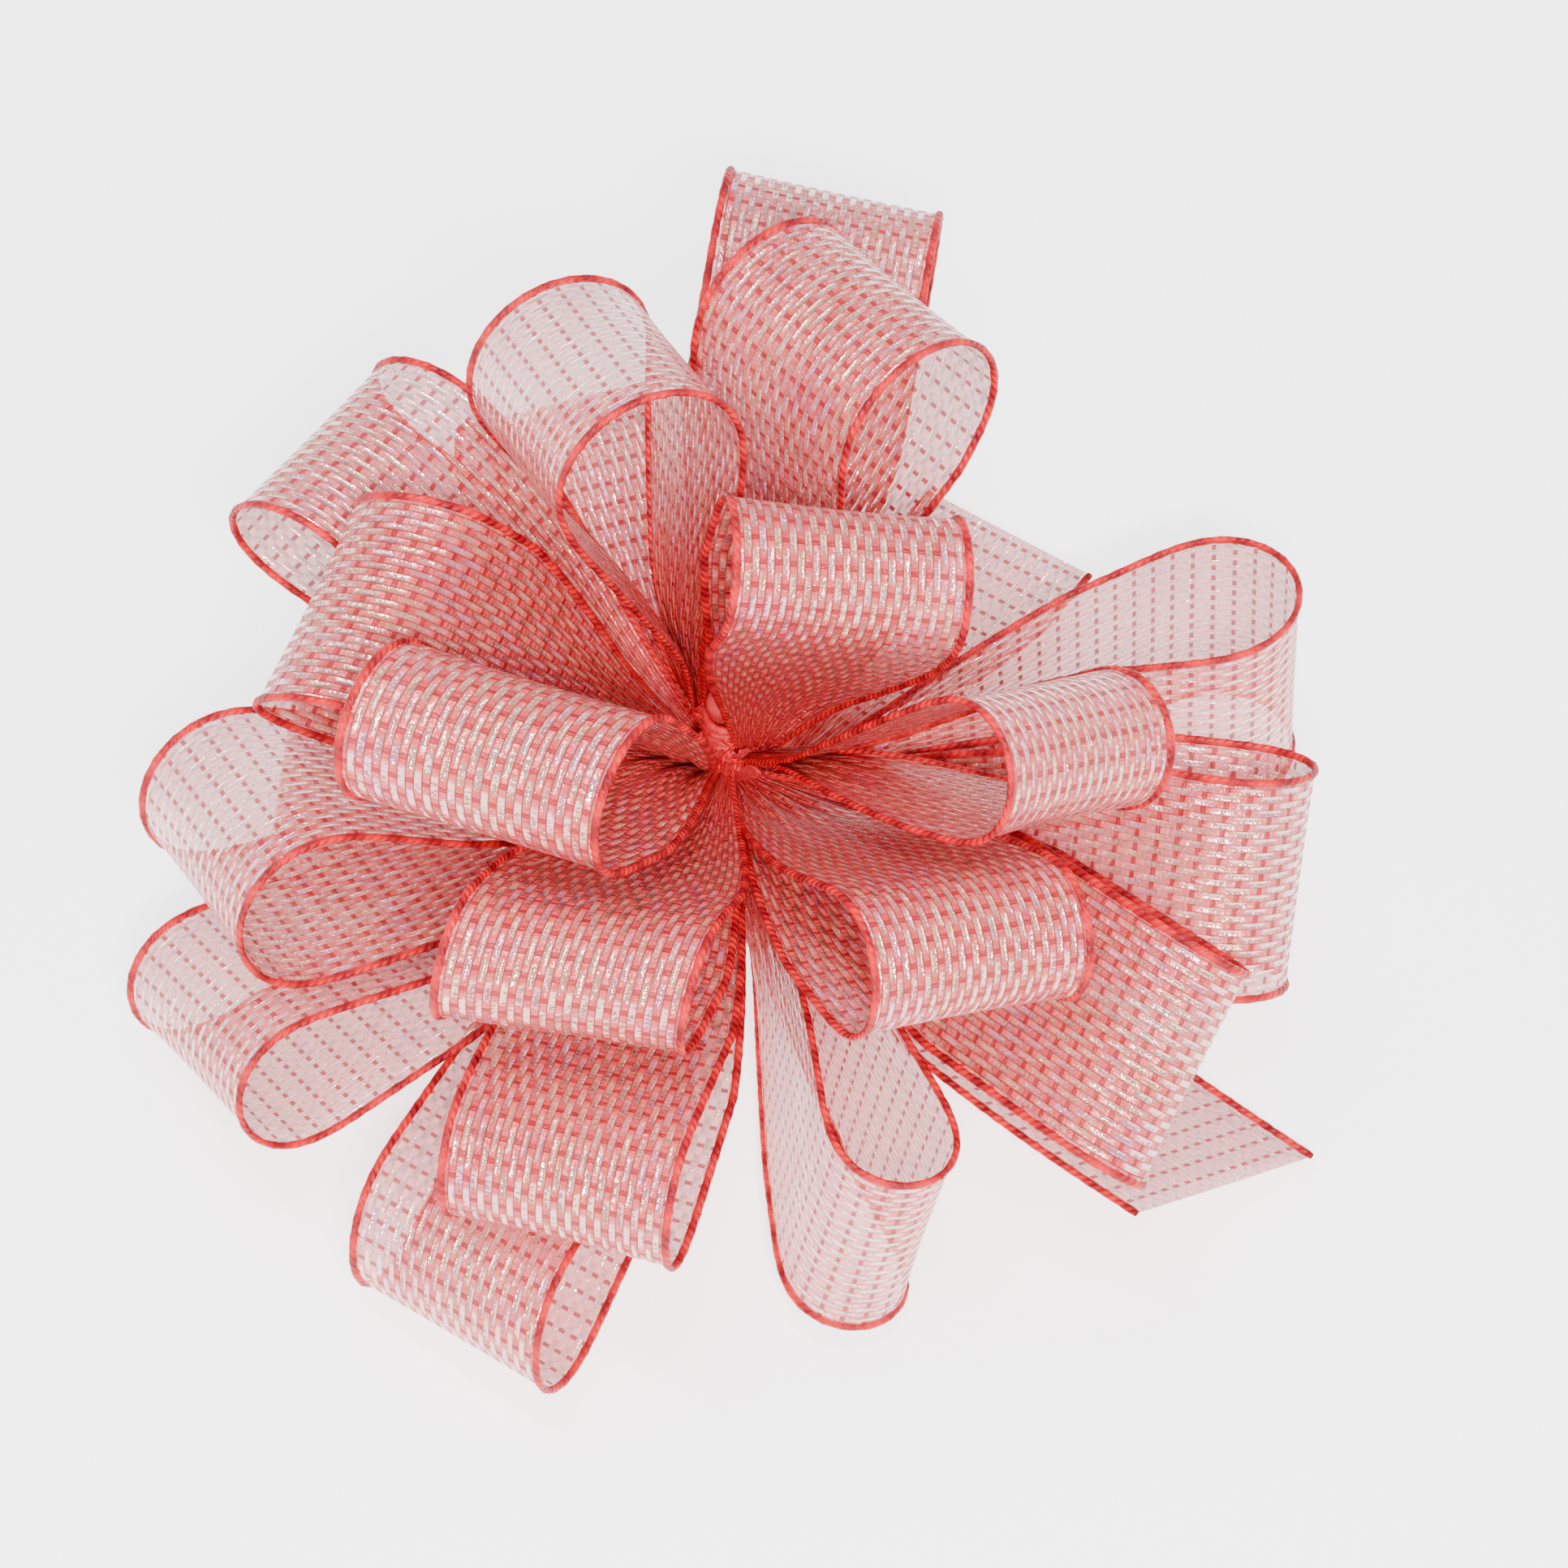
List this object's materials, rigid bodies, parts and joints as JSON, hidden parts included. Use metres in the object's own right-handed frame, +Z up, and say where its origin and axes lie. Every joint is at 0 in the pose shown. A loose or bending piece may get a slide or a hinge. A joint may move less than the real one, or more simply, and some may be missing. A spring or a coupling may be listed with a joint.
{
  "type": "pre-made gift bow",
  "caption": "Round pull-up gift bow of sheer woven ribbon: pinched loops stacked on two draw ribbons, glued to a card disc with an adhesive foam pad.",
  "frame": {"origin": "middle of the underside, the face that sticks to the present", "axes": "+Z up along the stack of pinches, -Y towards the front of the bow"},
  "size_m": [0.1344, 0.1444, 0.0896],
  "materials": {
    "ribbon": "sheer plain weave of flat pearl film strips and coral thread, with a corded selvedge",
    "draw_ribbon": "narrow woven ribbon, coral red",
    "glue": "clear hot-melt glue",
    "card": "white-lined card",
    "foam": "closed-cell foam, adhesive on both faces",
    "liner": "waxed release paper"
  },
  "bodies": {
    "stack": {"draw_ribbon_front": "draw_ribbon", "draw_ribbon_back": "draw_ribbon", "upper_knot": "draw_ribbon", "lower_knot": "draw_ribbon", "glue_spot": "glue", "base_card": "card", "foam_pad": "foam", "release_liner": "liner"},
    "tail_front": {"tail_front": "ribbon"},
    "tail_back": {"tail_back": "ribbon"},
    "loop_front_low_left": {"loop_front_low_left": "ribbon"},
    "loop_left_back_low": {"loop_left_back_low": "ribbon"},
    "loop_front_low_right": {"loop_front_low_right": "ribbon"},
    "loop_right_back": {"loop_right_back": "ribbon"},
    "loop_back_low": {"loop_back_low": "ribbon"},
    "loop_left_low": {"loop_left_low": "ribbon"},
    "loop_right": {"loop_right": "ribbon"},
    "loop_left": {"loop_left": "ribbon"},
    "loop_back": {"loop_back": "ribbon"},
    "loop_front_middle": {"loop_front_middle": "ribbon"},
    "loop_front_right": {"loop_front_right": "ribbon"},
    "loop_left_back": {"loop_left_back": "ribbon"},
    "loop_front_upper_right": {"loop_front_upper_right": "ribbon"},
    "loop_left_upper": {"loop_left_upper": "ribbon"},
    "loop_front_upper": {"loop_front_upper": "ribbon"},
    "loop_right_upper": {"loop_right_upper": "ribbon"},
    "loop_front_left_upper": {"loop_front_left_upper": "ribbon"},
    "loop_back_upper": {"loop_back_upper": "ribbon"},
    "loop_top_right": {"loop_top_right": "ribbon"},
    "loop_top_left": {"loop_top_left": "ribbon"}
  },
  "joints": [
    {"name": "tail_end_front_swivel", "type": "hinge", "parent": "stack", "child": "tail_front", "pos_m": [0, 0, 0.0046], "axis": [0, 0, 1], "range_deg": [-6, 6]},
    {"name": "tail_end_back_swivel", "type": "hinge", "parent": "stack", "child": "tail_back", "pos_m": [0, 0, 0.0058], "axis": [0, 0, 1], "range_deg": [-6, 6]},
    {"name": "front_low_left_swivel", "type": "hinge", "parent": "stack", "child": "loop_front_low_left", "pos_m": [0, 0, 0.007], "axis": [0, 0, 1], "range_deg": [-0.6, 2]},
    {"name": "left_back_low_swivel", "type": "hinge", "parent": "stack", "child": "loop_left_back_low", "pos_m": [0, 0, 0.0082], "axis": [0, 0, 1], "range_deg": [-6, 0.5]},
    {"name": "front_low_right_swivel", "type": "hinge", "parent": "stack", "child": "loop_front_low_right", "pos_m": [0, 0, 0.0094], "axis": [0, 0, 1], "range_deg": [-2, 0.6]},
    {"name": "right_back_swivel", "type": "hinge", "parent": "stack", "child": "loop_right_back", "pos_m": [0, 0, 0.0106], "axis": [0, 0, 1], "range_deg": [-6, 6]},
    {"name": "back_low_swivel", "type": "hinge", "parent": "stack", "child": "loop_back_low", "pos_m": [0, 0, 0.0118], "axis": [0, 0, 1], "range_deg": [-6, 6]},
    {"name": "left_low_swivel", "type": "hinge", "parent": "stack", "child": "loop_left_low", "pos_m": [0, 0, 0.013], "axis": [0, 0, 1], "range_deg": [-0.5, 0.7]},
    {"name": "right_swivel", "type": "hinge", "parent": "stack", "child": "loop_right", "pos_m": [0, 0, 0.0142], "axis": [0, 0, 1], "range_deg": [-6, 6]},
    {"name": "left_swivel", "type": "hinge", "parent": "stack", "child": "loop_left", "pos_m": [0, 0, 0.0154], "axis": [0, 0, 1], "range_deg": [-6, 3]},
    {"name": "back_swivel", "type": "hinge", "parent": "stack", "child": "loop_back", "pos_m": [0, 0, 0.0166], "axis": [0, 0, 1], "range_deg": [-6, 6]},
    {"name": "front_middle_swivel", "type": "hinge", "parent": "stack", "child": "loop_front_middle", "pos_m": [0, 0, 0.0178], "axis": [0, 0, 1], "range_deg": [-3, 4.5]},
    {"name": "front_right_swivel", "type": "hinge", "parent": "stack", "child": "loop_front_right", "pos_m": [0, 0, 0.019], "axis": [0, 0, 1], "range_deg": [-0.6, 6]},
    {"name": "left_back_swivel", "type": "hinge", "parent": "stack", "child": "loop_left_back", "pos_m": [0, 0, 0.0202], "axis": [0, 0, 1], "range_deg": [-6, 6]},
    {"name": "front_upper_right_swivel", "type": "hinge", "parent": "stack", "child": "loop_front_upper_right", "pos_m": [0, 0, 0.0214], "axis": [0, 0, 1], "range_deg": [-0.6, 0.6]},
    {"name": "left_upper_swivel", "type": "hinge", "parent": "stack", "child": "loop_left_upper", "pos_m": [0, 0, 0.0226], "axis": [0, 0, 1], "range_deg": [-6, 1]},
    {"name": "front_upper_swivel", "type": "hinge", "parent": "stack", "child": "loop_front_upper", "pos_m": [0, 0, 0.0238], "axis": [0, 0, 1], "range_deg": [-6, 0.6]},
    {"name": "right_upper_swivel", "type": "hinge", "parent": "stack", "child": "loop_right_upper", "pos_m": [0, 0, 0.025], "axis": [0, 0, 1], "range_deg": [-4, 2]},
    {"name": "front_left_upper_swivel", "type": "hinge", "parent": "stack", "child": "loop_front_left_upper", "pos_m": [0, 0, 0.0262], "axis": [0, 0, 1], "range_deg": [-1, 6]},
    {"name": "back_upper_swivel", "type": "hinge", "parent": "stack", "child": "loop_back_upper", "pos_m": [0, 0, 0.0274], "axis": [0, 0, 1], "range_deg": [-6, 6]},
    {"name": "top_right_swivel", "type": "hinge", "parent": "stack", "child": "loop_top_right", "pos_m": [0, 0, 0.0286], "axis": [0, 0, 1], "range_deg": [-2, 5]},
    {"name": "top_left_swivel", "type": "hinge", "parent": "stack", "child": "loop_top_left", "pos_m": [0, 0, 0.0298], "axis": [0, 0, 1], "range_deg": [-6, 6]}
  ]
}
